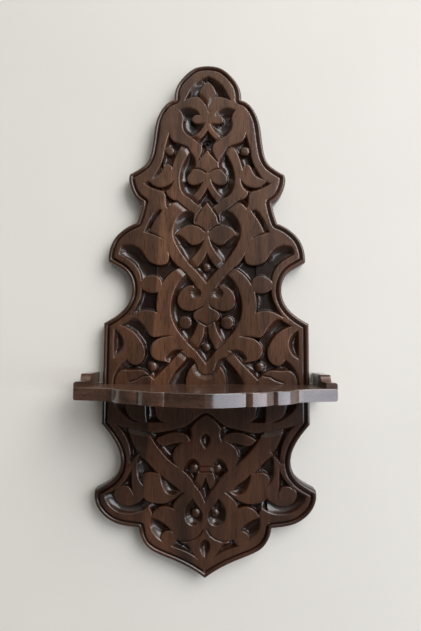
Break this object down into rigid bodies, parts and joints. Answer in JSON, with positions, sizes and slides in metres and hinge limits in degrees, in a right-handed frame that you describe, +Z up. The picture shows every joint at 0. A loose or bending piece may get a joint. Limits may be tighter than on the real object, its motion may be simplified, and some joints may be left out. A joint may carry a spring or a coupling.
{
  "type": "carved wall-hung turban stand",
  "caption": "Wall-hung carved walnut turban stand: tall scalloped back panel with interlaced leaf carving, small bracket shelf and stepped end cheeks.",
  "frame": {"origin": "on the axis of the hanging hole, at the back face of the panel that lies on the wall", "axes": "+X to the viewer's right along the shelf, +Z up, front faces -Y, wall at y = 0"},
  "size_m": [0.352, 0.1495, 0.7665],
  "materials": {
    "walnut_middle": "gloss varnish",
    "walnut_right": "gloss varnish",
    "walnut_left": "gloss varnish",
    "walnut_shelf": "gloss varnish",
    "walnut_cheek": "gloss varnish",
    "beech": "plain wood",
    "screw_steel": "plain steel"
  },
  "bodies": {
    "root": {"panel_middle_board": "walnut_middle", "panel_right_board": "walnut_right", "panel_left_board": "walnut_left", "shelf_board": "walnut_shelf", "cheek_right": "walnut_cheek", "cheek_left": "walnut_cheek", "cheek_dowels": "beech", "shelf_screws": "screw_steel"}
  },
  "joints": []
}
